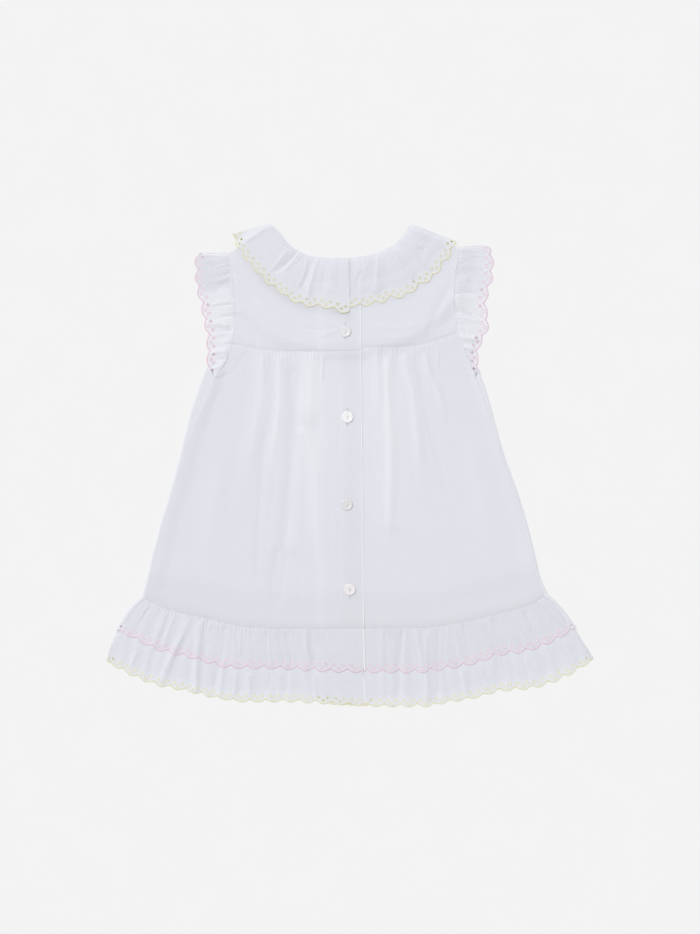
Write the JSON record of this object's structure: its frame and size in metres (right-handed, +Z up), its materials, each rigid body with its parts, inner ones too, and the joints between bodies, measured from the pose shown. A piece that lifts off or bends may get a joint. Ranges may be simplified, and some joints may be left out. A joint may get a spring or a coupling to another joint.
{
  "type": "toddler dress",
  "caption": "Sleeveless toddler dress in white cotton, laid flat back up, with a buttoned placket, gathered frills and scalloped eyelet edges.",
  "frame": {"origin": "on the surface that the dress lies on, under the middle of the dress", "axes": "+Z up from the surface, +Y from the hem to the neck, +X to the right of someone who looks down at the back of the dress with the neck away from them"},
  "size_m": [0.4477, 0.4444, 0.0107],
  "materials": {
    "cotton": "plain woven cotton, matt, white with a cool cast",
    "pearl": "pearly grey, glossy"
  },
  "bodies": {
    "root": {"front_yoke": "cotton", "back_yoke_left": "cotton", "back_yoke_right": "cotton", "front_skirt": "cotton", "back_skirt_left": "cotton", "back_skirt_right": "cotton", "neck_frill": "cotton", "sleeve_frill_left": "cotton", "sleeve_frill_right": "cotton", "hem_upper_front": "cotton", "hem_upper_back_left": "cotton", "hem_upper_back_right": "cotton", "hem_lower_front": "cotton", "hem_lower_back_left": "cotton", "hem_lower_back_right": "cotton", "button_1": "pearl", "button_2": "pearl", "button_3": "pearl", "button_4": "pearl"}
  },
  "joints": []
}
